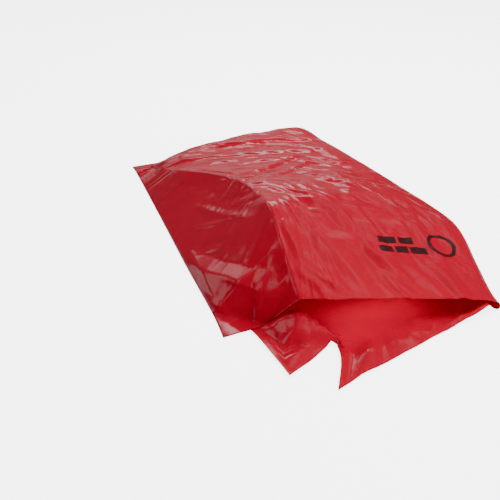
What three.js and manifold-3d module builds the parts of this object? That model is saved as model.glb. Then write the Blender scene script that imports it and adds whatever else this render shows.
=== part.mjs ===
// A gusseted waste bag of thin red plastic film, laid on a level floor with some air in it.
// The bag lies with its open mouth at -Y and its welded end at +Y. The film is one piece:
// an upper ply that rises to a crest, a lower ply flat on the floor that runs out in front of
// the mouth, and a side gusset pulled out of the mouth as a flat lobe beside it.
// Units are millimetres, +Z is up, and the origin is the bottom centre of the bag's box.

import * as THREE from 'three';
import Module from 'manifold-3d';
import { mergeVertices } from 'three/addons/utils/BufferGeometryUtils.js';

const wasm = await Module();
wasm.setup();

// Sizes of the bag as it lies
const laidLength = 1128; // lower ply's front tip to the weld
const laidWidth = 630; // upper ply's left corner at the mouth to the right fold
const crestHeight = 170; // highest point of the upper ply
const shoulderHeight = 95; // right-hand edge of the upper ply's top
const tailHeight = 85; // last rise before the welded end
const mouthHeight = 80; // rise of the upper ply at the mouth
const mouthShoulderHeight = 24; // right-hand edge of the top, at the mouth
const wall = 2; // thickness that stands for the film
const weldThickness = 4; // the two plies pressed together
const skirtLength = 25; // film left beyond the weld
const solidTail = 22; // the hollow ends this far before the weld

// How finely the soft surface is divided
const stepsBetweenStations = 3;
const sideRoundSteps = 4;

// Places across are shares of the laid width from the left, and places along are shares of
// the laid length from the lower ply's front tip.
const across = (share) => (share - 0.5) * laidWidth;
const along = (share) => (share - 0.5) * laidLength;

// Cross-sections of the body, from the front tip to the weld: the left fold, the crest, the
// middle of the top, the right shoulder and the right fold, with heights as they stand.
const stations = [
  { at: 0.0, left: -0.03, crest: 0.18, middle: 0.4, shoulder: 0.765, right: 0.87,
    rise: [mouthHeight * 0.4, mouthHeight * 0.5, mouthShoulderHeight * 0.8] },
  { at: 0.084, left: -0.03, crest: 0.19, middle: 0.4, shoulder: 0.765, right: 0.87,
    rise: [mouthHeight * 0.5, mouthHeight * 0.65, mouthShoulderHeight] },
  { at: 0.173, left: -0.01, crest: 0.225, middle: 0.4, shoulder: 0.86, right: 0.915,
    rise: [mouthHeight * 0.9, mouthHeight, shoulderHeight * 0.58] },
  { at: 0.273, left: 0.02, crest: 0.255, middle: 0.48, shoulder: 0.915, right: 0.975,
    rise: [crestHeight * 0.78, crestHeight * 0.72, shoulderHeight * 0.93] },
  { at: 0.381, left: 0.042, crest: 0.325, middle: 0.53, shoulder: 0.915, right: 1.0,
    rise: [crestHeight, crestHeight * 0.87, shoulderHeight] },
  { at: 0.449, left: 0.055, crest: 0.34, middle: 0.53, shoulder: 0.915, right: 1.0,
    rise: [crestHeight * 0.91, crestHeight * 0.86, shoulderHeight] },
  { at: 0.618, left: 0.092, crest: 0.347, middle: 0.59, shoulder: 0.915, right: 1.0,
    rise: [crestHeight * 0.71, crestHeight * 0.65, shoulderHeight] },
  { at: 0.816, left: 0.135, crest: 0.25, middle: 0.5, shoulder: 0.912, right: 1.0,
    rise: [tailHeight * 0.82, tailHeight * 1.08, shoulderHeight * 0.95] },
  { at: 0.934, left: 0.16, crest: 0.235, middle: 0.37, shoulder: 0.9, right: 0.995,
    rise: [tailHeight * 0.45, tailHeight * 0.94, tailHeight] },
  { at: 1.0, left: 0.173, crest: 0.23, middle: 0.4, shoulder: 0.93, right: 0.98,
    rise: [weldThickness, weldThickness, weldThickness] },
];

// Cut edges of the film at the mouth, as places in plan from left to right
const upperMouthEdge = [
  [0.0, 0.208], [0.094, 0.206], [0.162, 0.206], [0.225, 0.173], [0.337, 0.147],
  [0.459, 0.129], [0.59, 0.114], [0.727, 0.1], [0.817, 0.092], [0.863, 0.084],
];
const upperLeftCorner = [0.0, 0.208];
const underLobeStart = [0.094, 0.206];
const lobeCorner = [0.09, 0.062];
const lobeBend = [0.268, 0.11];
const lobeInnerCorner = [0.31, 0.099];
const lowerPlyTip = [0.181, 0.0];
const lowerPlyBend = [0.276, 0.017];
const lowerPlyRise = [0.73, 0.072];
const mouthRightCorner = [0.863, 0.084];
const lowerMouthEdge = [
  upperLeftCorner, underLobeStart, lobeCorner, lobeBend, lobeInnerCorner,
  lowerPlyTip, lowerPlyBend, lowerPlyRise, mouthRightCorner,
];

// A smooth value through the stations: the columns of the body's grid.
function columnThroughStations(place, rise) {
  const points = stations.map((s) => new THREE.Vector3(across(place(s)), along(s.at), rise(s)));
  return new THREE.CatmullRomCurve3(points, false, 'catmullrom', 0.5);
}

const onFloor = () => 0;
const columns = {
  left: columnThroughStations((s) => s.left, onFloor),
  crest: columnThroughStations((s) => s.crest, (s) => s.rise[0]),
  middle: columnThroughStations((s) => s.middle, (s) => s.rise[1]),
  shoulder: columnThroughStations((s) => s.shoulder, (s) => s.rise[2]),
  right: columnThroughStations((s) => s.right, onFloor),
};

// One cross-section of the body's outside, from the left fold over the top to the right fold.
function sectionAt(t) {
  const at = (name) => columns[name].getPoint(t);
  const [left, crest, middle, shoulder, right] = ['left', 'crest', 'middle', 'shoulder', 'right'].map(at);
  const section = [left, left.clone().lerp(crest, 0.5), crest, middle, shoulder];
  for (let i = 1; i <= sideRoundSteps; i += 1) {
    const turn = (i / sideRoundSteps) * (Math.PI / 2);
    const x = shoulder.x + (right.x - shoulder.x) * Math.sin(turn);
    section.push(new THREE.Vector3(x, shoulder.y, shoulder.z * Math.cos(turn)));
  }
  return section;
}

// The same cross-section moved inwards by a distance, each edge along its own normal.
function insetSection(section, distance) {
  const count = section.length;
  const edges = section.map((p, i) => {
    const q = section[(i + 1) % count];
    const direction = new THREE.Vector2(q.x - p.x, q.z - p.z).normalize();
    const inwards = new THREE.Vector2(direction.y, -direction.x);
    return { direction, start: new THREE.Vector2(p.x, p.z).addScaledVector(inwards, distance) };
  });
  return section.map((p, i) => {
    const before = edges[(i + count - 1) % count];
    const after = edges[i];
    const cross = before.direction.cross(after.direction);
    const between = after.start.clone().sub(before.start);
    const travel = Math.abs(cross) < 1e-6 ? 0 : between.cross(after.direction) / cross;
    const corner = Math.abs(cross) < 1e-6 ? after.start : before.start.clone().addScaledVector(before.direction, travel);
    return new THREE.Vector3(corner.x, p.y, corner.y);
  });
}

// A closed solid through a row of cross-sections with the same number of points.
function loft(sections) {
  const count = sections[0].length;
  const positions = sections.flat().flatMap((p) => [p.x, p.y, p.z]);
  const index = [];
  for (let k = 0; k + 1 < sections.length; k += 1) {
    for (let i = 0; i < count; i += 1) {
      const next = (i + 1) % count;
      const [a, b] = [k * count + i, k * count + next];
      const [c, d] = [b + count, a + count];
      index.push(a, b, c, a, c, d);
    }
  }
  for (const [section, first, facesFront] of [
    [sections[0], 0, true],
    [sections.at(-1), (sections.length - 1) * count, false],
  ]) {
    const outline = section.map((p) => new THREE.Vector2(p.x, p.z));
    for (const [a, b, c] of THREE.ShapeUtils.triangulateShape(outline, [])) {
      const turn = outline[b].clone().sub(outline[a]).cross(outline[c].clone().sub(outline[a]));
      const asIs = turn > 0 === facesFront;
      index.push(first + a, first + (asIs ? b : c), first + (asIs ? c : b));
    }
  }
  const geometry = new THREE.BufferGeometry();
  geometry.setAttribute('position', new THREE.Float32BufferAttribute(positions, 3));
  geometry.setIndex(index);
  return toSolid(geometry);
}

// An upright prism over an outline in plan.
function prism(outline, bottom, top) {
  const shape = new THREE.Shape(outline.map(([x, y]) => new THREE.Vector2(x, y)));
  const geometry = new THREE.ExtrudeGeometry(shape, { depth: top - bottom, bevelEnabled: false });
  return toSolid(geometry.translate(0, 0, bottom));
}

function toSolid(geometry) {
  const bare = new THREE.BufferGeometry();
  bare.setAttribute('position', geometry.getAttribute('position'));
  bare.setIndex(geometry.index);
  const merged = mergeVertices(bare, 1e-4);
  return new wasm.Manifold(new wasm.Mesh({
    numProp: 3,
    vertProperties: new Float32Array(merged.attributes.position.array),
    triVerts: new Uint32Array(merged.index.array),
  }));
}

// The region in front of a cut edge, as an outline wide enough to clear the whole bag.
function inFrontOf(edge) {
  const aside = laidWidth;
  const places = edge.map(([u, v]) => [across(u), along(v)]);
  const [firstY, lastY] = [places[0][1], places.at(-1)[1]];
  const frontY = along(0) - laidWidth;
  return [[-aside, frontY], [aside, frontY], [aside, lastY], ...places.reverse(), [-aside, firstY]];
}

// The air-filled body: its outside less its hollow, which runs out through the mouth.
const spans = stations.length - 1;
const sectionCount = spans * stepsBetweenStations;
const sectionTimes = Array.from({ length: sectionCount + 1 }, (_, i) => i / sectionCount);
const body = loft(sectionTimes.map(sectionAt));

const hollowEnd = along(1) - solidTail;
const hollowTimes = sectionTimes.filter((t) => columns.crest.getPoint(t).y < hollowEnd);
const lastStation = (spans - 1) / spans;
const lastGap = along(1) - along(stations.at(-2).at);
hollowTimes.push(lastStation + ((hollowEnd - along(stations.at(-2).at)) / lastGap) / spans);
const hollowSections = hollowTimes.map((t) => insetSection(sectionAt(t), wall));
const frontCap = hollowSections[0].map((p) => p.clone().setY(p.y - laidWidth));
const hollow = loft([frontCap, ...hollowSections]);

// The weld's skirt lies flat beyond the hollow.
const weldOverlap = 1;
const skirt = prism(
  [
    [across(stations.at(-1).left), along(1) - weldOverlap],
    [across(stations.at(-1).right), along(1) - weldOverlap],
    [across(stations.at(-1).right), along(1) + skirtLength],
    [across(stations.at(-1).left), along(1) + skirtLength],
  ],
  0,
  weldThickness,
);

// Cutting the mouth leaves the lower ply and the gusset's lobe lying in front of it.
const clearHeight = crestHeight * 2;
const aboveLowerPly = prism(inFrontOf(upperMouthEdge), wall, clearHeight);
const beyondLowerPly = prism(inFrontOf(lowerMouthEdge), -wall, clearHeight);
const film = body.subtract(hollow).add(skirt).subtract(aboveLowerPly).subtract(beyondLowerPly);

function toGeometry(solid) {
  const mesh = solid.getMesh();
  const geometry = new THREE.BufferGeometry();
  geometry.setAttribute('position', new THREE.BufferAttribute(mesh.vertProperties, mesh.numProp));
  geometry.setIndex(new THREE.BufferAttribute(mesh.triVerts, 1));
  geometry.computeVertexNormals();
  return geometry;
}

const redFilm = new THREE.MeshStandardMaterial({ color: 0xc4121c, roughness: 0.22, metalness: 0 });
const filmMesh = new THREE.Mesh(toGeometry(film), redFilm);
filmMesh.name = 'bag_film';

const box = new THREE.Box3().setFromObject(filmMesh);
const group = new THREE.Group();
group.add(filmMesh);
group.position.set(-(box.min.x + box.max.x) / 2, -(box.min.y + box.max.y) / 2, -box.min.z);

export default group;
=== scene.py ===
import bpy
import numpy as np
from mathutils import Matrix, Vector


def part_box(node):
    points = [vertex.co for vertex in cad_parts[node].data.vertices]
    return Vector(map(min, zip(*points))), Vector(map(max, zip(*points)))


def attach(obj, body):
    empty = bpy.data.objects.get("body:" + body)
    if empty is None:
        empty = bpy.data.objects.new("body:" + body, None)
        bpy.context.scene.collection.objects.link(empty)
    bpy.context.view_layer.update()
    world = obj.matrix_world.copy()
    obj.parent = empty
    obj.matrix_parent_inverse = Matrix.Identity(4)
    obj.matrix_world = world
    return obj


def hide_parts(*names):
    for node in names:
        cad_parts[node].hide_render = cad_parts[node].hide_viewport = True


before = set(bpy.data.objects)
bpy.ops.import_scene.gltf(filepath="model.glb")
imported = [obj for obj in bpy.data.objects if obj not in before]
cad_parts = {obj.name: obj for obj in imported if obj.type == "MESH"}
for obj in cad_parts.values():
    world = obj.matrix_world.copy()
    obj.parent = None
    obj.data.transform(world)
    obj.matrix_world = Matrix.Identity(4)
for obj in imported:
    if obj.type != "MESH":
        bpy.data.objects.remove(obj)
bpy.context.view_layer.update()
filmLow, filmHigh = (np.array(corner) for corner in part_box("bag_film"))

# What a user would change about the bag. Sizes are metres; places across and along are shares
# of the laid bag's width and length, and rises are shares of its height.
bag = {
    "skirt": 0.025,  # film beyond the weld
    "thickness": 0.0003,
    "lift": 0.0006,  # the lower ply's middle above the floor
    "cellsLeft": 44,  # grid cells from the left fold to the crest
    "cellsTop": 92,  # from the crest to the right shoulder
    "cellsSide": 16,  # down the rolled right side
    "cellsUnder": 60,  # back along the floor
    "rows": 206,
    "mouthCrowding": 1.12,  # above 1, rows are drawn together at the mouth
    "skirtRows": 5,
    "seed": 7,
}
bagWidth = filmHigh[0] - filmLow[0]
bagLength = filmHigh[1] - filmLow[1] - bag["skirt"]
bagHeight = filmHigh[2] - filmLow[2]

# The air-filled body: where its folds and ridges run, station by station from mouth to weld.
body = {
    "along": [0.000, 0.084, 0.173, 0.273, 0.381, 0.449, 0.618, 0.816, 0.934, 1.000],
    "left": [-0.030, -0.030, -0.010, 0.020, 0.042, 0.055, 0.092, 0.135, 0.160, 0.173],
    "crest": [0.180, 0.195, 0.226, 0.256, 0.305, 0.330, 0.337, 0.252, 0.235, 0.230],
    "middle": [0.400, 0.400, 0.400, 0.480, 0.530, 0.530, 0.590, 0.500, 0.400, 0.400],
    "shoulder": [0.765, 0.765, 0.860, 0.915, 0.915, 0.915, 0.915, 0.912, 0.900, 0.930],
    "right": [0.870, 0.870, 0.915, 0.975, 1.000, 1.000, 1.000, 1.000, 0.995, 0.980],
    "crestRise": [0.19, 0.24, 0.42, 0.77, 0.96, 0.90, 0.71, 0.385, 0.125, 0.0018],
    "middleRise": [0.24, 0.30, 0.46, 0.72, 0.87, 0.86, 0.65, 0.52, 0.37, 0.0018],
    "shoulderRise": [0.12, 0.14, 0.32, 0.52, 0.56, 0.56, 0.56, 0.53, 0.48, 0.0018],
}
section = {
    "middleAt": 0.45,  # how far from crest to shoulder the middle lies
    "hemShare": 0.68,  # of the left side that lies flat on the floor at the cut edge
    "hemEnds": [0.206, 0.285],  # along: the flat hem narrows to nothing between these
    "hemRise": 0.005,
    "underRound": 0.30,  # height of the round under the right side, as a share of its own
}

# The upper ply's cut edge: across share against along share.
upperEdge = {
    "across": [0.000, 0.094, 0.162, 0.225, 0.337, 0.459, 0.590, 0.727, 0.817, 0.863],
    "along": [0.208, 0.206, 0.206, 0.173, 0.147, 0.129, 0.114, 0.100, 0.092, 0.084],
    "firstGuess": 0.15,  # where the search for each column's start begins
    "tries": 30,
}

# The lower ply's cut edge from the right corner round the tip, the notch and the lobe to the
# left corner: the column of cells that each corner lies on, and its place across and along.
lowerEdge = {
    "cell": [0, 4, 13, 22, 30, 34, 40, 42, 50, 56, 60],
    "across": [0.850, 0.815, 0.649, 0.514, 0.276, 0.181, 0.300, 0.275, 0.090, 0.094, 0.000],
    "along": [0.084, 0.083, 0.067, 0.049, 0.017, 0.000, 0.094, 0.112, 0.062, 0.206, 0.208],
    "fadeRows": 0.34,  # share of the rows that the edge's shape reaches back over
    "fadeAcross": 3,  # and the powers it fades by, across and along
    "fadeAlong": 1.3,
}

# Long creases that show as ridges: the line's places (across, along), its height, and the
# width of the slope on its right-hand and left-hand side as it runs.
ridges = [
    ([(0.254, 0.813), (0.322, 0.668), (0.349, 0.534)], 0.004, 0.035, 0.030),
    ([(0.330, 0.580), (0.419, 0.468), (0.526, 0.453)], 0.008, 0.050, 0.060),
    ([(0.058, 0.520), (0.088, 0.370), (0.122, 0.282), (0.187, 0.222), (0.235, 0.172)], 0.010, 0.036, 0.028),
    ([(0.130, 0.240), (0.200, 0.220), (0.250, 0.225)], 0.005, 0.030, 0.050),
    ([(0.034, 0.400), (0.040, 0.300), (0.070, 0.245)], 0.005, 0.014, 0.034),
    ([(0.611, 0.636), (0.661, 0.484)], 0.005, 0.018, 0.040),
    ([(0.759, 0.600), (0.700, 0.490), (0.624, 0.377)], 0.008, 0.022, 0.060),
    ([(0.682, 0.455), (0.763, 0.300)], 0.006, 0.016, 0.040),
    ([(0.488, 0.336), (0.600, 0.342), (0.727, 0.326)], 0.006, 0.026, 0.040),
    ([(0.466, 0.432), (0.452, 0.370), (0.448, 0.310)], 0.006, 0.016, 0.036),
    ([(0.460, 0.380), (0.510, 0.290)], 0.004, 0.014, 0.026),
    ([(0.401, 0.261), (0.460, 0.258), (0.518, 0.247)], 0.004, 0.018, 0.030),
    ([(0.518, 0.250), (0.560, 0.200), (0.600, 0.150)], 0.007, 0.016, 0.044),
    ([(0.549, 0.216), (0.666, 0.196)], 0.004, 0.014, 0.028),
    ([(0.877, 0.320), (0.868, 0.200)], 0.004, 0.014, 0.022),
    ([(0.714, 0.190), (0.745, 0.085)], 0.007, 0.014, 0.040),
    ([(0.524, 0.190), (0.545, 0.120)], 0.004, 0.012, 0.028),
    ([(0.223, 0.950), (0.300, 0.905), (0.420, 0.865)], 0.0035, 0.018, 0.036),
    ([(0.280, 0.945), (0.520, 0.880), (0.800, 0.835)], 0.0055, 0.026, 0.052),
    ([(0.335, 0.839), (0.600, 0.770), (0.858, 0.734)], 0.0050, 0.022, 0.052),
    ([(0.430, 0.723), (0.727, 0.698)], 0.0040, 0.020, 0.048),
    ([(0.300, 0.800), (0.480, 0.752), (0.640, 0.742)], 0.0022, 0.008, 0.026),
    ([(0.250, 0.880), (0.430, 0.815), (0.600, 0.800)], 0.0022, 0.008, 0.026),
    ([(0.324, 0.610), (0.530, 0.650), (0.740, 0.717)], 0.006, 0.018, 0.066),
    ([(0.428, 0.554), (0.580, 0.600), (0.752, 0.675)], 0.005, 0.014, 0.050),
    ([(0.877, 0.855), (0.856, 0.617)], 0.005, 0.020, 0.034),
    ([(0.203, 0.633), (0.259, 0.397)], 0.0016, 0.010, 0.012),
    ([(0.150, 0.560), (0.215, 0.480), (0.255, 0.470)], 0.0018, 0.006, 0.010),
    ([(0.105, 0.470), (0.170, 0.405)], 0.0016, 0.006, 0.010),
    ([(0.302, 0.330), (0.285, 0.240)], 0.005, 0.012, 0.036),
    ([(0.233, 0.245), (0.319, 0.163)], 0.004, 0.014, 0.034),
    ([(0.282, 0.235), (0.365, 0.158)], 0.004, 0.012, 0.032),
    ([(0.760, 0.290), (0.765, 0.170)], 0.005, 0.016, 0.028),
    ([(0.620, 0.560), (0.700, 0.400), (0.760, 0.330)], 0.005, 0.020, 0.040),
    ([(0.420, 0.400), (0.560, 0.300), (0.640, 0.270)], 0.005, 0.020, 0.036),
    ([(0.370, 0.330), (0.420, 0.230), (0.430, 0.160)], 0.004, 0.020, 0.036),
]

# How the film is creased. Each spot has a place, the heading its creases run along (degrees
# from +X in plan) and its slack, the share by which the film is longer than the space it has.
creases = {
    "spots": [
        # across, along, heading, slack
        (0.45, 0.88, -18, 0.0075),
        (0.85, 0.90, -35, 0.0100),
        (0.50, 0.66, -28, 0.003),
        (0.60, 0.47, -62, 0.010),
        (0.85, 0.60, -66, 0.013),
        (0.82, 0.38, -70, 0.013),
        (0.45, 0.27, -80, 0.006),
        (0.62, 0.24, -72, 0.009),
        (0.85, 0.20, -84, 0.011),
        (0.12, 0.60, 20, 0.0004),
        (0.10, 0.30, 35, 0.0010),
    ],
    "reach": 0.13,  # how far a spot's say carries
    "wander": 24,  # degrees the heading drifts
    "wanderSize": 0.09,
    "patchSize": 0.045,  # slack comes in patches of about this size
    "patchDepth": 0.9,  # how much more or less of it a patch has, as a share
    "patchLeast": 0.1,
    "passes": 420,
    "bending": 0.005,
    "airSpring": 0.0018,
    "firstRoughness": 0.0012,  # the noise that buckling starts from, smoothed by these two
    "firstSmoothing": 0.2,
    "firstSmoothings": 2,
    "fineCount": 620,  # short creases laid along the headings
    "fineLength": [0.03, 0.14],
    "fineWidth": [0.005, 0.013],
    "fineHeight": [0.0005, 0.0022],
    "fineLean": [0.6, 2.2],  # the left slope's width as a share of the right one's
    "fineFullSlack": 0.01,  # slack at which a short crease has its full height
    "fineMost": 1.2,  # and the most that more slack makes of it
    "fineMargins": [4, 3],  # cells left free at the fold, and rows at the ends
    "fullSlack": 0.013,  # slack at which the film looks fully creased and scuffed
    "floorSlackShare": 0.25,  # how creased the film on the floor looks, as a share of that
    "foldFade": 5,  # cells beside the left fold over which creases die out
    "edgeWave": 0.0035,  # how far the cut edge waves up and down
    "edgeWaveSize": 0.055,
    "edgeWaveReach": 0.022,  # and how far back from the edge the wave carries
}


# A cubic through each value: Hermite spans whose slopes are the mean of the two chords.
def smoothThrough(where, stops, values):
    stops, values = np.asarray(stops, float), np.asarray(values, float)
    chords = np.diff(values) / np.diff(stops)
    slopes = np.concatenate([chords[:1], (chords[:-1] + chords[1:]) / 2, chords[-1:]])
    span = np.clip(np.searchsorted(stops, where) - 1, 0, len(stops) - 2)
    width = stops[span + 1] - stops[span]
    t = np.clip((where - stops[span]) / width, 0, 1)
    first = (1 + 2 * t) * (1 - t) ** 2 * values[span] + t * (1 - t) ** 2 * width * slopes[span]
    last = t * t * (3 - 2 * t) * values[span + 1] + t * t * (t - 1) * width * slopes[span + 1]
    return first + last


# Random values on a square lattice of that cell, blended by a smooth step: about -1 to 1.
def softNoise(x, y, cell, seed):
    lattice = np.random.default_rng(seed).uniform(-1, 1, (128, 128))
    u, v = x / cell + 40.3, y / cell + 40.7
    i, j = np.floor(u).astype(int), np.floor(v).astype(int)
    s, t = u - i, v - j
    s, t = s * s * (3 - 2 * s), t * t * (3 - 2 * t)
    i, j, k, m = i % 128, j % 128, (i + 1) % 128, (j + 1) % 128
    low = lattice[i, j] * (1 - s) + lattice[k, j] * s
    high = lattice[i, m] * (1 - s) + lattice[k, m] * s
    return low * (1 - t) + high * t


# Metres from shares of the laid bag's width and length.
def across(share):
    return filmLow[0] + share * bagWidth


def along(share):
    return filmLow[1] + share * bagLength


# Share across and rise of a column at a place along. Left: a straight side from the fold to
# the crest, with a flat hem at the mouth that rises a little to its knee. Top: the parabola through
# crest, middle and shoulder. Right: a quarter ellipse down and a quarter circle under.
def sectionPlace(column, alongShare):
    left, top, side = bag["cellsLeft"], bag["cellsTop"], bag["cellsSide"]
    at = {name: smoothThrough(alongShare, body["along"], body[name]) for name in body if name != "along"}
    onLeft, onSide = column <= left, column > left + top

    t = np.clip(column / left, 0, 1)
    hemStart, hemEnd = section["hemEnds"]
    hem = section["hemShare"] * np.clip((hemEnd - alongShare) / (hemEnd - hemStart), 0, 1)
    hemRise = section["hemRise"] / bagHeight * hem / section["hemShare"]
    climb = np.clip((t - hem) / (1 - hem), 0, 1)
    leftX = at["left"] + (at["crest"] - at["left"]) * t
    leftZ = hemRise * np.minimum(t / np.maximum(hem, 0.01), 1) + (at["crestRise"] - hemRise) * climb

    t = np.clip((column - left) / top, 0, 1)
    middleAt = section["middleAt"]
    toCrest = (t - middleAt) * (t - 1) / middleAt
    toMiddle = t * (t - 1) / (middleAt * (middleAt - 1))
    toShoulder = t * (t - middleAt) / (1 - middleAt)
    topX = toCrest * at["crest"] + toMiddle * at["middle"] + toShoulder * at["shoulder"]
    topZ = toCrest * at["crestRise"] + toMiddle * at["middleRise"] + toShoulder * at["shoulderRise"]

    turn = np.clip((column - left - top) / side, 0, 1) * np.pi
    turnUnder = np.clip(turn - np.pi / 2, 0, np.pi / 2)
    turn = np.minimum(turn, np.pi / 2)
    under = section["underRound"] * at["shoulderRise"]
    sideX = at["shoulder"] + (at["right"] - at["shoulder"]) * np.sin(turn)
    sideX = sideX - under * bagHeight / bagWidth * (1 - np.cos(turnUnder))
    sideZ = under + (at["shoulderRise"] - under) * np.cos(turn) - under * np.sin(turnUnder)

    x = np.where(onLeft, leftX, np.where(onSide, sideX, topX))
    z = np.where(onLeft, leftZ, np.where(onSide, sideZ, topZ))
    return x, z


# The upper ply and the rolled side. A column starts where the cut edge crosses it and runs
# to the weld, with its rows drawn a little closer together at the mouth.
def topOfBag():
    cells = bag["cellsLeft"] + bag["cellsTop"] + bag["cellsSide"]
    column = np.arange(cells + 1)[:, None]
    row = np.linspace(0, 1, bag["rows"] + 1)[None, :] ** bag["mouthCrowding"]
    edge = np.full((cells + 1, 1), upperEdge["firstGuess"])
    for _ in range(upperEdge["tries"]):  # the edge moves the section, and the section moves the edge
        share = sectionPlace(column, edge)[0]
        edge = 0.5 * edge + 0.5 * np.interp(share, upperEdge["across"], upperEdge["along"])
    place = edge + (1 - edge) * row
    share, rise = sectionPlace(column, place)
    return np.stack([across(share), along(place), rise * bagHeight], axis=-1)


# The cross product of the steps along columns and along rows, at unit length.
def surfaceNormals(grid):
    normal = np.cross(np.gradient(grid, axis=0), np.gradient(grid, axis=1))
    return normal / np.maximum(np.linalg.norm(normal, axis=-1, keepdims=True), 1e-12)


# A tent along a line of places in metres: it falls straight to nothing over each side's width,
# and its height follows the root of a sine from end to end. Each point belongs to the span of
# the line that it is nearest to.
def ridgeHeight(x, y, places, height, rightWidth, leftWidth):
    places = np.asarray(places, float)
    runs = np.diff(places, axis=0)
    lengths = np.hypot(runs[:, 0], runs[:, 1])
    before = np.concatenate([[0], np.cumsum(lengths)])
    nearest = np.full(x.shape, np.inf)
    travelled, side = np.zeros(x.shape), np.zeros(x.shape)
    for place, run, length, start in zip(places, runs, lengths, before):
        ahead = ((x - place[0]) * run[0] + (y - place[1]) * run[1]) / length
        aside = ((x - place[0]) * run[1] - (y - place[1]) * run[0]) / length
        beyond = ahead - np.clip(ahead, 0, length)
        distance = np.hypot(aside, beyond)
        closer = distance < nearest
        nearest = np.where(closer, distance, nearest)
        travelled = np.where(closer, start + np.clip(ahead, 0, length), travelled)
        side = np.where(closer, aside, side)
    width = np.where(side > 0, rightWidth, leftWidth)
    taper = np.sqrt(np.sin(travelled / before[-1] * np.pi))
    return height * np.clip(1 - nearest / width, 0, 1) * taper


# Heading and slack over the film: each spot's say falls off as a bell with distance, the
# heading wanders with a soft noise, and the slack comes in patches.
def creaseField(grid):
    x, y = grid[..., 0], grid[..., 1]
    total = np.zeros_like(x)
    turned = np.zeros(x.shape + (2,))
    slack = np.zeros_like(x)
    for spotX, spotY, heading, amount in creases["spots"]:
        far = (x - across(spotX)) ** 2 + (y - along(spotY)) ** 2
        say = np.exp(-far / creases["reach"] ** 2) + 1e-6
        doubled = np.radians(2 * heading)
        turned += say[..., None] * np.array([np.cos(doubled), np.sin(doubled)])
        slack += say * amount
        total += say
    heading = 0.5 * np.arctan2(turned[..., 1], turned[..., 0])
    heading += np.radians(creases["wander"]) * softNoise(x, y, creases["wanderSize"], bag["seed"])
    patch = 1 + creases["patchDepth"] * softNoise(x, y, creases["patchSize"], bag["seed"] + 1)
    return heading, slack / total * np.clip(patch, creases["patchLeast"], None)


# Raises the long creases, many short ones laid along the headings where there is slack, and
# a soft wave that dies out back from the cut edge, each along the smooth surface's normal.
def addRidges(grid, heading, slack):
    random = np.random.default_rng(bag["seed"] + 2)
    x, y = grid[..., 0], grid[..., 1]
    rise = np.zeros_like(x)
    for shares, height, rightWidth, leftWidth in ridges:
        places = [(across(u), along(v)) for u, v in shares]
        rise += ridgeHeight(x, y, places, height, rightWidth, leftWidth)
    columns, rows = x.shape
    top = bag["cellsLeft"] + bag["cellsTop"]
    besideFold, besideEnds = creases["fineMargins"]
    for _ in range(creases["fineCount"]):
        i, j = random.integers(besideFold, top), random.integers(besideEnds, rows - besideEnds)
        length = random.uniform(*creases["fineLength"])
        width = random.uniform(*creases["fineWidth"])
        fullness = min(slack[i, j] / creases["fineFullSlack"], creases["fineMost"])
        height = random.uniform(*creases["fineHeight"]) * fullness
        lean = random.uniform(*creases["fineLean"])
        reach = np.array([np.cos(heading[i, j]), np.sin(heading[i, j])]) * length / 2
        middle = np.array([x[i, j], y[i, j]])
        rise += ridgeHeight(x, y, [middle - reach, middle + reach], height, width, width * lean)
    wave = creases["edgeWave"] * softNoise(x, y, creases["edgeWaveSize"], bag["seed"] + 6)
    rise += wave * np.exp(-(y - y[:, :1]) / creases["edgeWaveReach"])
    column = np.arange(columns)
    edge = np.minimum((columns - 1 - column) / bag["cellsSide"], column / creases["foldFade"])
    return grid + surfaceNormals(grid) * (rise * np.clip(edge, 0, 1)[:, None])[..., None]


# The four neighbours less four times the middle, with edges repeated.
def laplacian(values):
    padded = np.pad(values, [(1, 1), (1, 1)] + [(0, 0)] * (values.ndim - 2), mode="edge")
    return padded[:-2, 1:-1] + padded[2:, 1:-1] + padded[1:-1, :-2] + padded[1:-1, 2:] - 4 * values


# Lets slack film buckle. Every edge is pushed towards a rest length that is longer across
# the creases than the smooth shape, a plate's stiffness keeps buckles wide, and the air
# inside pulls each point back towards the smooth shape. The outline stays where it is.
def relaxFilm(grid, heading, slack):
    random = np.random.default_rng(bag["seed"])
    acrossCrease = np.stack([-np.sin(heading), np.cos(heading)], axis=-1)
    bump = random.normal(size=grid.shape[:2])
    for _ in range(creases["firstSmoothings"]):
        bump = bump + creases["firstSmoothing"] * laplacian(bump)
    free = np.ones(grid.shape[:2])
    free[:2] = free[-2:] = 0
    free[:, -2:] = 0
    free = free[..., None]
    offset = surfaceNormals(grid) * (bump * creases["firstRoughness"])[..., None]
    shape = grid + offset * free

    def edgeSet(first, second):
        step = grid[second] - grid[first]
        size = np.linalg.norm(step, axis=-1)
        lie = (step[..., :2] / np.maximum(size, 1e-9)[..., None] * acrossCrease[first]).sum(-1)
        return first, second, size * (1 + slack[first] * lie ** 2)

    every, sets = slice(None), []
    for start in (0, 1):
        even = slice(start, -1, 2)
        odd = slice(start + 1, None, 2)
        sets.append(edgeSet((even, every), (odd, every)))
        sets.append(edgeSet((every, even), (every, odd)))
        sets.append(edgeSet((even, slice(None, -1)), (odd, slice(1, None))))
        sets.append(edgeSet((even, slice(1, None)), (odd, slice(None, -1))))
    for _ in range(creases["passes"]):
        for first, second, rest in sets:
            step = shape[second] - shape[first]
            size = np.linalg.norm(step, axis=-1)
            push = (0.5 * (size - rest) / np.maximum(size, 1e-9))[..., None] * step
            shape[first] += push * free[first]
            shape[second] -= push * free[second]
        offset = shape - grid
        offset -= creases["bending"] * laplacian(laplacian(offset))
        offset *= 1 - creases["airSpring"]
        shape = grid + offset * free
        shape[..., 2] = np.maximum(shape[..., 2], 0)
    return shape


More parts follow.
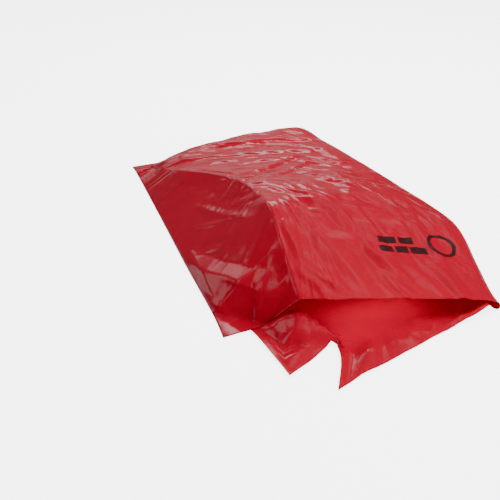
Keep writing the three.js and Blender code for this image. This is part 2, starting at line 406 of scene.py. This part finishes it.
# The folds of the film that lies on the floor in front of the mouth. The gusset's pleat is a
# low pyramid over its outline, under the mouth's left corner.
floorFolds = {
    "pleatTop": (0.228, 0.178),
    "pleatRise": 0.049,
    "pleatOutline": [(0.112, 0.202), (0.150, 0.125), (0.310, 0.099), (0.285, 0.150), (0.250, 0.200),
                     (0.190, 0.215)],
    "ridges": [
        ([(0.115, 0.090), (0.180, 0.108), (0.250, 0.116)], 0.0085, 0.018, 0.022),
        ([(0.135, 0.150), (0.185, 0.132), (0.265, 0.130)], 0.0070, 0.014, 0.020),
        ([(0.180, 0.155), (0.215, 0.112)], 0.0060, 0.010, 0.020),
        ([(0.240, 0.155), (0.262, 0.110)], 0.0060, 0.010, 0.018),
        ([(0.330, 0.098), (0.300, 0.135), (0.262, 0.175)], 0.0060, 0.012, 0.020),
        ([(0.470, 0.112), (0.455, 0.080), (0.442, 0.050)], 0.0060, 0.014, 0.030),
        ([(0.520, 0.108), (0.560, 0.060)], 0.0035, 0.014, 0.028),
        ([(0.345, 0.085), (0.320, 0.030)], 0.0050, 0.014, 0.026),
        ([(0.400, 0.100), (0.340, 0.055), (0.270, 0.012)], 0.0045, 0.018, 0.024),
        ([(0.840, 0.094), (0.760, 0.086), (0.660, 0.078)], 0.0080, 0.010, 0.030),
        ([(0.190, 0.006), (0.245, 0.050), (0.292, 0.088)], 0.0100, 0.010, 0.030),
        ([(0.560, 0.120), (0.640, 0.085)], 0.0040, 0.016, 0.030),
        ([(0.380, 0.112), (0.375, 0.070), (0.330, 0.045)], 0.0050, 0.010, 0.020),
        ([(0.610, 0.100), (0.590, 0.066)], 0.0045, 0.010, 0.022),
        ([(0.720, 0.098), (0.700, 0.074)], 0.0045, 0.010, 0.020),
        ([(0.160, 0.190), (0.150, 0.120), (0.100, 0.080)], 0.0050, 0.010, 0.022),
        ([(0.205, 0.185), (0.200, 0.130), (0.150, 0.092)], 0.0045, 0.009, 0.018),
    ],
    "curls": [  # place, rise and reach of the corners that curl up off the floor
        ((0.850, 0.084), 0.012, 0.040),
    ],
    "waveSize": 0.060,
    "waveHeight": 0.0022,
    "rippleSize": 0.021,  # crisper ripples on the waves
    "rippleHeight": 0.0007,
    "foldMargin": 0.05,  # share of the width at each fold over which the film comes down flat
    "weldMargin": 0.1,  # and of the length before the weld
    "underLeft": 0.24,  # across: the film left of this stays under the bag's left side
    "underShare": 0.6,  # at this share of that side's height
}


# A pyramid over an outline: at each point the least of its distances from the outline's sides,
# each as a share of that side's distance from the top.
def pyramidHeight(x, y, outline, top, height):
    corners = np.array([(across(u), along(v)) for u, v in outline])
    peak = np.array([across(top[0]), along(top[1])])
    least = np.full(x.shape, np.inf)
    for start, end in zip(corners, np.roll(corners, -1, axis=0)):
        run = end - start
        inside = run[0] * (y - start[1]) - run[1] * (x - start[0])
        peakInside = run[0] * (peak[1] - start[1]) - run[1] * (peak[0] - start[0])
        least = np.minimum(least, inside / peakInside)
    return height * np.clip(least, 0, 1)


# Height of the left side over the floor at any place in plan, from the same section.
def leftSideRise(x, y):
    alongShare = (y - filmLow[1]) / bagLength
    column = np.arange(bag["cellsLeft"] + 1)[:, None, None]
    share, rise = sectionPlace(column, alongShare[None, ...])
    acrossShare = (x - filmLow[0]) / bagWidth
    span = np.clip((share < acrossShare[None, ...]).sum(axis=0) - 1, 0, bag["cellsLeft"] - 1)[None, ...]
    low, high = np.take_along_axis(share, span, 0), np.take_along_axis(share, span + 1, 0)
    lowRise, highRise = np.take_along_axis(rise, span, 0), np.take_along_axis(rise, span + 1, 0)
    part = np.clip((acrossShare[None, ...] - low) / (high - low), 0, 1)
    return (lowRise + (highRise - lowRise) * part)[0] * bagHeight


# The lower ply and the gusset's lobe. Rows run straight between the two folds, and in front
# they are drawn out to the cut edge by an offset that fades backwards. Tents and two soft
# noises lift the film, corners curl up as bells, the pleat stands up, and behind the cut edge
# all of it stays under the left side.
def floorOfBag(topGrid):
    cells = bag["cellsUnder"]
    s = (np.arange(1, cells) / cells)[:, None]
    right, left = topGrid[-1], topGrid[0]
    rowShare = np.linspace(0, 1, topGrid.shape[1])[None, :]
    straight = right[None, :, :] * (1 - s[..., None]) + left[None, :, :] * s[..., None]
    edgeX = across(np.interp(s * cells, lowerEdge["cell"], lowerEdge["across"]))
    edgeY = along(np.interp(s * cells, lowerEdge["cell"], lowerEdge["along"]))
    fade = np.clip(1 - rowShare / lowerEdge["fadeRows"], 0, 1)
    x = straight[..., 0] + (edgeX - straight[:, :1, 0]) * fade ** lowerEdge["fadeAcross"]
    y = straight[..., 1] + (edgeY - straight[:, :1, 1]) * fade ** lowerEdge["fadeAlong"]

    z = floorFolds["waveHeight"] * (1 + softNoise(x, y, floorFolds["waveSize"], bag["seed"] + 5))
    z += floorFolds["rippleHeight"] * (1 + softNoise(x, y, floorFolds["rippleSize"], bag["seed"] + 8))
    for shares, height, rightWidth, leftWidth in floorFolds["ridges"]:
        places = [(across(u), along(v)) for u, v in shares]
        z += ridgeHeight(x, y, places, height, rightWidth, leftWidth)
    z += pyramidHeight(x, y, floorFolds["pleatOutline"], floorFolds["pleatTop"], floorFolds["pleatRise"])
    for (u, v), height, reach in floorFolds["curls"]:
        z += height * np.exp(-((x - across(u)) ** 2 + (y - along(v)) ** 2) / reach ** 2)
    beside = np.minimum(s, 1 - s)
    besideWeld = np.clip((1 - rowShare) / floorFolds["weldMargin"], 0, 1)
    z *= np.clip(beside / floorFolds["foldMargin"], 0, 1) * besideWeld
    behindCut = y > along(np.interp((x - filmLow[0]) / bagWidth, upperEdge["across"], upperEdge["along"]))
    onLeft = (x - filmLow[0]) / bagWidth < floorFolds["underLeft"]
    room = floorFolds["underShare"] * leftSideRise(x, y)
    z = np.where(behindCut & onLeft, np.minimum(z, room), z)
    return np.stack([x, y, z], axis=-1)


# The plies run on flat beyond the weld, by equal rows.
def addSkirt(grid):
    steps = np.arange(1, bag["skirtRows"] + 1)[None, :, None] / bag["skirtRows"]
    last = grid[:, -1:, :]
    return np.concatenate([grid, last + steps * np.array([0, bag["skirt"], 0])], axis=1)


# One mesh from a grid whose columns close on themselves and whose rows do not. Its UV map
# holds the film's own flat measures in metres: across from the crest, along from the edge.
def filmMesh(name, grid, flat):
    columns, rows = grid.shape[:2]
    index = np.arange(columns * rows).reshape(columns, rows)
    a, b = index[:, :-1], np.roll(index, -1, axis=0)[:, :-1]
    c, d = np.roll(index, -1, axis=0)[:, 1:], index[:, 1:]
    faces = np.stack([a, b, c, d], axis=-1).reshape(-1, 4)
    mesh = bpy.data.meshes.new(name)
    mesh.from_pydata(grid.reshape(-1, 3).tolist(), [], faces.tolist())
    mesh.shade_smooth()
    layer = mesh.uv_layers.new(name="flatFilm")
    layer.uv.foreach_set("vector", flat.reshape(-1, 2)[faces.ravel()].ravel())
    piece = bpy.data.objects.new(name, mesh)
    bpy.context.collection.objects.link(piece)
    return piece


# Lengths along the smooth film: across from the crest's column, along from the cut edge.
def flatMeasures(smooth):
    acrossSteps = np.linalg.norm(np.diff(smooth, axis=0, append=smooth[:1]), axis=-1)
    u = np.concatenate([np.zeros((1, smooth.shape[1])), np.cumsum(acrossSteps, axis=0)[:-1]])
    u -= u[bag["cellsLeft"]]
    alongSteps = np.linalg.norm(np.diff(smooth, axis=1), axis=-1)
    v = np.concatenate([np.zeros((smooth.shape[0], 1)), np.cumsum(alongSteps, axis=1)], axis=1)
    return np.stack([u, v], axis=-1)


print("stage: the film's shape")
smoothTop = topOfBag()
heading, slack = creaseField(smoothTop)
ridgedTop = addRidges(smoothTop, heading, slack)
print("stage: letting the slack film buckle")
creasedTop = relaxFilm(ridgedTop, heading, slack)
floorGrid = floorOfBag(smoothTop)
smoothGrid = addSkirt(np.concatenate([smoothTop, floorGrid], axis=0))
filmGrid = addSkirt(np.concatenate([creasedTop, floorGrid], axis=0))
filmGrid[..., 2] += bag["lift"]
film = filmMesh("bag", filmGrid, flatMeasures(smoothGrid))
slackShare = np.full(filmGrid.shape[:2], creases["floorSlackShare"])
slackShare[: slack.shape[0], : slack.shape[1]] = slack / creases["fullSlack"]
share = film.data.attributes.new("slackShare", "FLOAT", "POINT")
share.data.foreach_set("value", slackShare.ravel())
wall = film.modifiers.new("wall", "SOLIDIFY")
wall.thickness = bag["thickness"]
wall.offset = 0
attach(film, "root")
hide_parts("bag_film")

# The film's finish.
filmFinish = {
    "red": (0.64, 0.002, 0.034, 1),
    "deepRed": (0.56, 0.001, 0.026, 1),
    "ink": (0.012, 0.011, 0.012, 1),
    "through": (0.80, 0.006, 0.040, 1),  # colour of the light that comes through one ply
    "lightThrough": 0.45,  # share of the light that does
    "roughness": 0.09,
    "scuffedRoughness": 0.36,
    "leastScuff": 0.30,  # how scuffed slack film is between its creases
    "creases": [(-68, 34, 7, 0.0), (-30, 38, 6, 3.1)],  # heading, scale, stretch and seed of two kinds
    "patches": [7.0, 0.42, 5.0],  # where each kind shows: noise scale, start and contrast
    "sharpness": 2.0,
    "fineHeight": 0.0055,  # of these creases, which are too fine for the mesh
    "hairs": (-50, 92, 5, 7.7),  # the same for hair-fine creases between them
    "hairHeight": 0.0011,
    "handledScale": 26.0,  # the slight waviness of any handled film
    "handledHeight": 0.0004,
    "ribHeight": 0.0003,  # ribs across the weld
    "ribPitch": 0.0016,
    "weldWidth": 0.010,
}


# A new node whose named inputs are linked to sockets or set to values.
def node(tree, kind, **inputs):
    made = tree.nodes.new(kind)
    for name, value in inputs.items():
        if hasattr(value, "is_output"):
            tree.links.new(value, made.inputs[name])
        else:
            made.inputs[name].default_value = value
    return made


# The result of a sum on sockets or values.
def maths(tree, operation, first, second=0.0, clamp=False):
    made = tree.nodes.new("ShaderNodeMath")
    made.operation = operation
    made.use_clamp = clamp
    for socket, value in zip(made.inputs, (first, second)):
        if hasattr(value, "is_output"):
            tree.links.new(value, socket)
        else:
            socket.default_value = value
    return made.outputs[0]


# Group: ridged noise on Object coordinates, turned to a heading and drawn out along it.
def longCreases():
    group = bpy.data.node_groups.new("longCreases", "ShaderNodeTree")
    for name, kind, start in [("Heading", "NodeSocketFloat", 0.0), ("Scale", "NodeSocketFloat", 30.0),
                              ("Stretch", "NodeSocketFloat", 6.0), ("Seed", "NodeSocketFloat", 0.0)]:
        group.interface.new_socket(name, in_out="INPUT", socket_type=kind).default_value = start
    group.interface.new_socket("Height", in_out="OUTPUT", socket_type="NodeSocketFloat")
    given, result = group.nodes.new("NodeGroupInput"), group.nodes.new("NodeGroupOutput")
    place = group.nodes.new("ShaderNodeTexCoord").outputs["Object"]
    turn = group.nodes.new("ShaderNodeVectorRotate")
    turn.rotation_type = "Z_AXIS"
    group.links.new(place, turn.inputs["Vector"])
    group.links.new(given.outputs["Heading"], turn.inputs["Angle"])
    split = node(group, "ShaderNodeSeparateXYZ", Vector=turn.outputs["Vector"])
    drawn = maths(group, "DIVIDE", split.outputs["X"], given.outputs["Stretch"])
    shifted = maths(group, "ADD", split.outputs["Z"], given.outputs["Seed"])
    joined = node(group, "ShaderNodeCombineXYZ", X=drawn, Y=split.outputs["Y"], Z=shifted)
    noise = group.nodes.new("ShaderNodeTexNoise")
    noise.noise_type = "RIDGED_MULTIFRACTAL"
    noise.normalize = True
    group.links.new(joined.outputs["Vector"], noise.inputs["Vector"])
    group.links.new(given.outputs["Scale"], noise.inputs["Scale"])
    noise.inputs["Detail"].default_value = 2.0
    noise.inputs["Roughness"].default_value = 0.45
    noise.inputs["Distortion"].default_value = 0.25
    group.links.new(noise.outputs["Fac"], result.inputs["Height"])
    return group


# Plain printed marks near the mouth: rows of bars parallel to the cut edge, and a ring.
marks = {
    "barsFrom": (0.042, -0.329),  # in plan, the lower row's left end
    "barsTo": (0.151, -0.346),
    "barHeight": 0.019,
    "rows": [  # how far above the base line, and each bar's ends as shares of the row
        (0.0120, [(0.00, 0.28), (0.33, 0.58), (0.63, 0.98)]),
        (0.0400, [(0.04, 0.40), (0.46, 0.76)]),
    ],
    "ringAt": (0.194, -0.330),
    "ringRadius": 0.029,
    "ringWidth": 0.0080,
    "wornScale": 260.0,  # ink is missing where a noise of this scale
    "wornAbove": 0.66,  # is above this
}


# The film's flat measures at the point of the smooth upper ply nearest to a place in plan.
def flatAt(place):
    flat = flatMeasures(smoothTop)
    far = np.hypot(smoothTop[..., 0] - place[0], smoothTop[..., 1] - place[1])
    return flat[np.unravel_index(np.argmin(far), far.shape)]


# Mask of the printed marks: each bar is where both flat measures lie within half its size of
# its middle, and the ring is where the distance from its centre is near its radius.
def inkMask(tree):
    flatMap = tree.nodes.new("ShaderNodeUVMap")
    flatMap.uv_map = "flatFilm"
    measures = node(tree, "ShaderNodeSeparateXYZ", Vector=flatMap.outputs["UV"])

    def near(value, middle, reach):
        made = maths(tree, "COMPARE", value, middle)
        made.node.inputs[2].default_value = reach
        return made

    start, end = flatAt(marks["barsFrom"]), flatAt(marks["barsTo"])
    ink = None
    for above, bars in marks["rows"]:
        inRow = near(measures.outputs["Y"], (start[1] + end[1]) / 2 + above, marks["barHeight"] / 2)
        for first, last in bars:
            middle = start[0] + (end[0] - start[0]) * (first + last) / 2
            inBar = near(measures.outputs["X"], middle, (end[0] - start[0]) * (last - first) / 2)
            bar = maths(tree, "MULTIPLY", inRow, inBar)
            ink = bar if ink is None else maths(tree, "MAXIMUM", ink, bar)
    centre = flatAt(marks["ringAt"])
    apart = tree.nodes.new("ShaderNodeVectorMath")
    apart.operation = "DISTANCE"
    tree.links.new(flatMap.outputs["UV"], apart.inputs[0])
    apart.inputs[1].default_value = (centre[0], centre[1], 0)
    ring = near(apart.outputs["Value"], marks["ringRadius"], marks["ringWidth"] / 2)
    ink = maths(tree, "MAXIMUM", ink, ring)
    worn = node(tree, "ShaderNodeTexNoise", Vector=flatMap.outputs["UV"], Scale=marks["wornScale"],
                Detail=2.0)
    kept = maths(tree, "LESS_THAN", worn.outputs["Fac"], marks["wornAbove"])
    return maths(tree, "MULTIPLY", ink, kept)


# Glossy red film that lets light through. Its bump is the sum of two kinds of fine creases,
# each in its own patches, hairs between them, a slight waviness and the weld's ribs.
def filmMaterial():
    material = bpy.data.materials.new("redFilm")
    material.use_nodes = True
    tree = material.node_tree
    shader = tree.nodes["Principled BSDF"]
    creaseGroup = longCreases()

    def creasesAt(degrees, scale, stretch, seed):
        made = tree.nodes.new("ShaderNodeGroup")
        made.node_tree = creaseGroup
        made.inputs["Heading"].default_value = np.radians(-degrees)
        made.inputs["Scale"].default_value = scale
        made.inputs["Stretch"].default_value = stretch
        made.inputs["Seed"].default_value = seed
        return made.outputs["Height"]

    slackness = node(tree, "ShaderNodeAttribute")
    slackness.attribute_name = "slackShare"
    place = tree.nodes.new("ShaderNodeTexCoord").outputs["Object"]
    patchScale, patchStart, contrast = filmFinish["patches"]
    chooser = node(tree, "ShaderNodeTexNoise", Vector=place, Scale=patchScale, Detail=1.0)
    pick = maths(tree, "SUBTRACT", chooser.outputs["Fac"], patchStart)
    pick = maths(tree, "MULTIPLY", pick, contrast, clamp=True)
    first, second = (creasesAt(*looks) for looks in filmFinish["creases"])
    mixed = maths(tree, "ADD", maths(tree, "MULTIPLY", first, pick),
                  maths(tree, "MULTIPLY", second, maths(tree, "SUBTRACT", 1.0, pick)))
    sharp = maths(tree, "POWER", mixed, filmFinish["sharpness"])
    fine = maths(tree, "MULTIPLY", sharp, slackness.outputs["Fac"])
    handled = node(tree, "ShaderNodeTexNoise", Vector=place, Scale=filmFinish["handledScale"],
                   Detail=3.0, Roughness=0.5)
    hair = maths(tree, "MULTIPLY", creasesAt(*filmFinish["hairs"]), slackness.outputs["Fac"])
    height = maths(tree, "ADD", maths(tree, "MULTIPLY", fine, filmFinish["fineHeight"]),
                   maths(tree, "MULTIPLY", handled.outputs["Fac"], filmFinish["handledHeight"]))
    height = maths(tree, "ADD", height, maths(tree, "MULTIPLY", hair, filmFinish["hairHeight"]))

    # the weld: a ribbed band right across the bag, where the Y coordinate is near the weld's
    beside = node(tree, "ShaderNodeSeparateXYZ", Vector=place).outputs["Y"]
    weld = maths(tree, "COMPARE", beside, along(1))
    weld.node.inputs[2].default_value = filmFinish["weldWidth"] / 2
    ribs = maths(tree, "SINE", maths(tree, "MULTIPLY", beside, 2 * np.pi / filmFinish["ribPitch"]))
    ribs = maths(tree, "MULTIPLY", maths(tree, "MULTIPLY", ribs, weld), filmFinish["ribHeight"])
    height = maths(tree, "ADD", height, ribs)
    bump = node(tree, "ShaderNodeBump", Height=height, Strength=1.0, Distance=1.0)
    tree.links.new(bump.outputs["Normal"], shader.inputs["Normal"])

    tint = node(tree, "ShaderNodeMix")
    tint.data_type = "RGBA"
    tint.inputs["A"].default_value = filmFinish["deepRed"]
    tint.inputs["B"].default_value = filmFinish["red"]
    tree.links.new(handled.outputs["Fac"], tint.inputs["Factor"])
    ink = inkMask(tree)
    printed = node(tree, "ShaderNodeMix")
    printed.data_type = "RGBA"
    tree.links.new(ink, printed.inputs["Factor"])
    tree.links.new(tint.outputs["Result"], printed.inputs["A"])
    printed.inputs["B"].default_value = filmFinish["ink"]
    tree.links.new(printed.outputs["Result"], shader.inputs["Base Color"])
    scuff = maths(tree, "ADD", mixed, filmFinish["leastScuff"])
    scuff = maths(tree, "MULTIPLY", scuff, slackness.outputs["Fac"], clamp=True)
    span = filmFinish["scuffedRoughness"] - filmFinish["roughness"]
    rough = maths(tree, "ADD", maths(tree, "MULTIPLY", scuff, span), filmFinish["roughness"])
    tree.links.new(rough, shader.inputs["Roughness"])
    through = node(tree, "ShaderNodeBsdfTranslucent", Color=filmFinish["through"])
    tree.links.new(bump.outputs["Normal"], through.inputs["Normal"])
    both = tree.nodes.new("ShaderNodeMixShader")
    both.inputs["Fac"].default_value = filmFinish["lightThrough"]
    tree.links.new(shader.outputs["BSDF"], both.inputs[1])
    tree.links.new(through.outputs["BSDF"], both.inputs[2])
    tree.links.new(both.outputs["Shader"], tree.nodes["Material Output"].inputs["Surface"])
    return material


film.data.materials.append(filmMaterial())

print("stage: floor, lights and camera")
studio = {
    "floorReach": 6,
    "floorColour": (0.86, 0.86, 0.86, 1),
    "floorRoughness": 0.7,
    "floorGlow": 4.5,  # as the camera alone sees it
    "airStrength": 0.12,
    "airRegions": [
        # degrees from +Y towards +X, degrees up, degrees to the full and to the faded edge, strength
        (15, 9, 4, 27, 0.66),
        (16, 32, 3, 12, 0.35),
        (75, 58, 4, 34, 0.22),
        (-6, 22, 5, 7, 1.9),
        (-13, 30, 5, 7, 1.7),
        (-40, 43, 6, 10, 2.0),
        (-24, 17, 5, 18, 0.10),
        (-65, 45, 5, 7, 1.7),
        (-69, 33, 5, 7, 1.7),
        (-31, 13, 6, 8, 1.4),
        (28.5, 34, 3.5, 5.5, 3.0),
        (47, 37, 3, 6, 0.8),
        (112, 50, 3, 7, 1.0),
    ],
}


# A level square, pale and matte.
def makeFloor():
    reach = studio["floorReach"]
    corners = [(-reach, -reach, 0), (reach, -reach, 0), (reach, reach, 0), (-reach, reach, 0)]
    mesh = bpy.data.meshes.new("studioFloor")
    mesh.from_pydata(corners, [], [(0, 1, 2, 3)])
    floor = bpy.data.objects.new("studioFloor", mesh)
    bpy.context.collection.objects.link(floor)
    material = bpy.data.materials.new("paleFloor")
    material.use_nodes = True
    shader = material.node_tree.nodes["Principled BSDF"]
    shader.inputs["Base Color"].default_value = studio["floorColour"]
    shader.inputs["Roughness"].default_value = studio["floorRoughness"]
    seen = material.node_tree.nodes.new("ShaderNodeLightPath").outputs["Is Camera Ray"]
    glow = maths(material.node_tree, "MULTIPLY", seen, studio["floorGlow"])
    material.node_tree.links.new(glow, shader.inputs["Emission Strength"])
    shader.inputs["Emission Color"].default_value = (1, 1, 1, 1)
    mesh.materials.append(material)


# A rectangular light at a place, turned to its target. Reflections show it where it is glossy.
def softbox(name, place, target, size, power, glossy=True, colour=(1, 1, 1)):
    lamp = bpy.data.lights.new(name, "AREA")
    lamp.color = colour
    lamp.shape = "RECTANGLE"
    lamp.size, lamp.size_y = size
    lamp.energy = power
    box = bpy.data.objects.new(name, lamp)
    box.location = place
    box.rotation_mode = "QUATERNION"
    box.rotation_quaternion = (Vector(target) - Vector(place)).to_track_quat("-Z", "Y")
    box.visible_glossy = glossy
    bpy.context.collection.objects.link(box)


# The air of the studio: a dim room with broad, soft-edged bright regions, each a smooth step of
# the cosine between the direction looked in and the region's middle.
def studioAir():
    world = bpy.data.worlds.new("studioAir")
    world.use_nodes = True
    tree = world.node_tree
    background = tree.nodes["Background"]
    direction = tree.nodes.new("ShaderNodeTexCoord").outputs["Generated"]
    total = studio["airStrength"]
    for turn, up, inner, outer, strength in studio["airRegions"]:
        turn, up = np.radians(turn), np.radians(up)
        middle = (np.sin(turn) * np.cos(up), np.cos(turn) * np.cos(up), np.sin(up))
        facing = tree.nodes.new("ShaderNodeVectorMath")
        facing.operation = "DOT_PRODUCT"
        tree.links.new(direction, facing.inputs[0])
        facing.inputs[1].default_value = middle
        glow = tree.nodes.new("ShaderNodeMapRange")
        glow.interpolation_type = "SMOOTHSTEP"
        tree.links.new(facing.outputs["Value"], glow.inputs["Value"])
        glow.inputs["From Min"].default_value = np.cos(np.radians(outer))
        glow.inputs["From Max"].default_value = np.cos(np.radians(inner))
        glow.inputs["To Max"].default_value = strength
        total = maths(tree, "ADD", glow.outputs["Result"], total)
    tree.links.new(total, background.inputs["Strength"])
    background.inputs["Color"].default_value = (1, 1, 1, 1)
    bpy.context.scene.world = world


makeFloor()
softbox("overheadFill", (0.9, 0.2, 2.6), (0, 0, 0), (2.6, 2.6), 120, glossy=False)
softbox("frontFill", (0.5, -2.8, 0.85), (0, -0.2, 0.1), (2, 1.2), 53, glossy=False)
softbox("insideFill", (-0.02, -0.395, 0.042), (-0.02, -0.395, 0), (0.20, 0.10), 0.14, glossy=False,
        colour=(0.9, 0.05, 1.0))  # stands for the light that comes through the upper ply
softbox("backPanel", (0.75, 2.7, 1.75), (0, 0, 0.1), (2.0, 0.5), 14)
softbox("rightStrip", (1.43, 2.04, 1.78), (0, 0, 0.1), (2.4, 0.5), 3.5)
softbox("highStrip", (1.14, 0.66, 2.80), (0, 0, 0.1), (2.4, 0.5), 4)
studioAir()

camera = {
    "place": (-0.803, -1.5085, 0.850),
    "turn": -25.0,  # degrees from +Y, towards +X
    "down": 27.6,
    "lens": 57.24,
    "sensor": 36,
}
lens = bpy.data.cameras.new("photoCamera")
lens.sensor_width = camera["sensor"]
lens.lens = camera["lens"]
eye = bpy.data.objects.new("photoCamera", lens)
bpy.context.collection.objects.link(eye)
eye.location = camera["place"]
eye.rotation_euler = (np.radians(90 - camera["down"]), 0, np.radians(camera["turn"]))
bpy.context.scene.camera = eye
